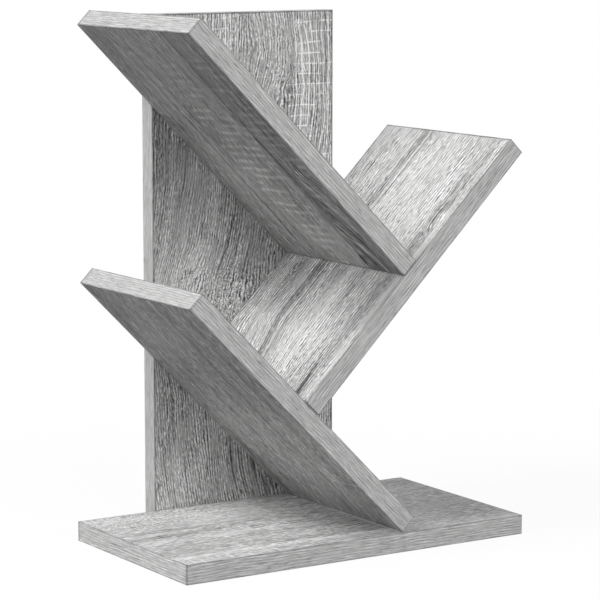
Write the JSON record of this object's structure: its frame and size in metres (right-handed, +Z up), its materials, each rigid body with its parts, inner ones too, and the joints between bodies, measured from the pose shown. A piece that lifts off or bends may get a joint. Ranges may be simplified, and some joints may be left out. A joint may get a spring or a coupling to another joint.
{
  "type": "tree shaped bookshelf",
  "caption": "Desk-top bookshelf in the shape of a tree: a flat base, an upright trunk board behind it, and leaning shelf boards that rise to left and right in turn, in grey oak-look board.",
  "frame": {"origin": "on the floor, under the middle of the whole: the centre of the underside of its bounding box", "axes": "+Z up; +X to the right as seen from the front, along the base; +Y from the open front towards the trunk at the back"},
  "size_m": [0.3, 0.18, 0.4042],
  "materials": {
    "board_foil": "grey rough-sawn oak print with a light emboss, satin, on particle board",
    "edge_band": "grey oak print with fine lines along the edge, satin",
    "screw_steel": "bright zinc plate",
    "dowel_beech": "raw beech, fluted"
  },
  "bodies": {
    "root": {"base_board": "board_foil", "base_left_band": "edge_band", "base_right_band": "edge_band", "base_front_band": "edge_band", "base_back_band": "edge_band", "trunk_board": "board_foil", "trunk_bottom_band": "edge_band", "trunk_top_band": "edge_band", "trunk_left_band": "edge_band", "trunk_right_band": "edge_band", "lower_shelf_board": "board_foil", "lower_shelf_foot_band": "edge_band", "lower_shelf_tip_band": "edge_band", "lower_shelf_front_band": "edge_band", "lower_shelf_back_band": "edge_band", "middle_shelf_board": "board_foil", "middle_shelf_foot_band": "edge_band", "middle_shelf_tip_band": "edge_band", "middle_shelf_front_band": "edge_band", "middle_shelf_back_band": "edge_band", "upper_shelf_board": "board_foil", "upper_shelf_foot_band": "edge_band", "upper_shelf_tip_band": "edge_band", "upper_shelf_front_band": "edge_band", "upper_shelf_back_band": "edge_band", "base_screw_1": "screw_steel", "base_screw_2": "screw_steel", "lower_shelf_screw_1": "screw_steel", "lower_shelf_screw_2": "screw_steel", "middle_shelf_screw_1": "screw_steel", "middle_shelf_screw_2": "screw_steel", "upper_shelf_screw_1": "screw_steel", "upper_shelf_screw_2": "screw_steel", "base_dowel_1": "dowel_beech", "base_dowel_2": "dowel_beech", "lower_shelf_dowel_1": "dowel_beech", "lower_shelf_dowel_2": "dowel_beech", "middle_shelf_dowel_1": "dowel_beech", "middle_shelf_dowel_2": "dowel_beech", "upper_shelf_dowel_1": "dowel_beech", "upper_shelf_dowel_2": "dowel_beech", "middle_shelf_foot_dowel_1": "dowel_beech", "middle_shelf_foot_dowel_2": "dowel_beech", "upper_shelf_foot_dowel_1": "dowel_beech", "upper_shelf_foot_dowel_2": "dowel_beech"}
  },
  "joints": []
}
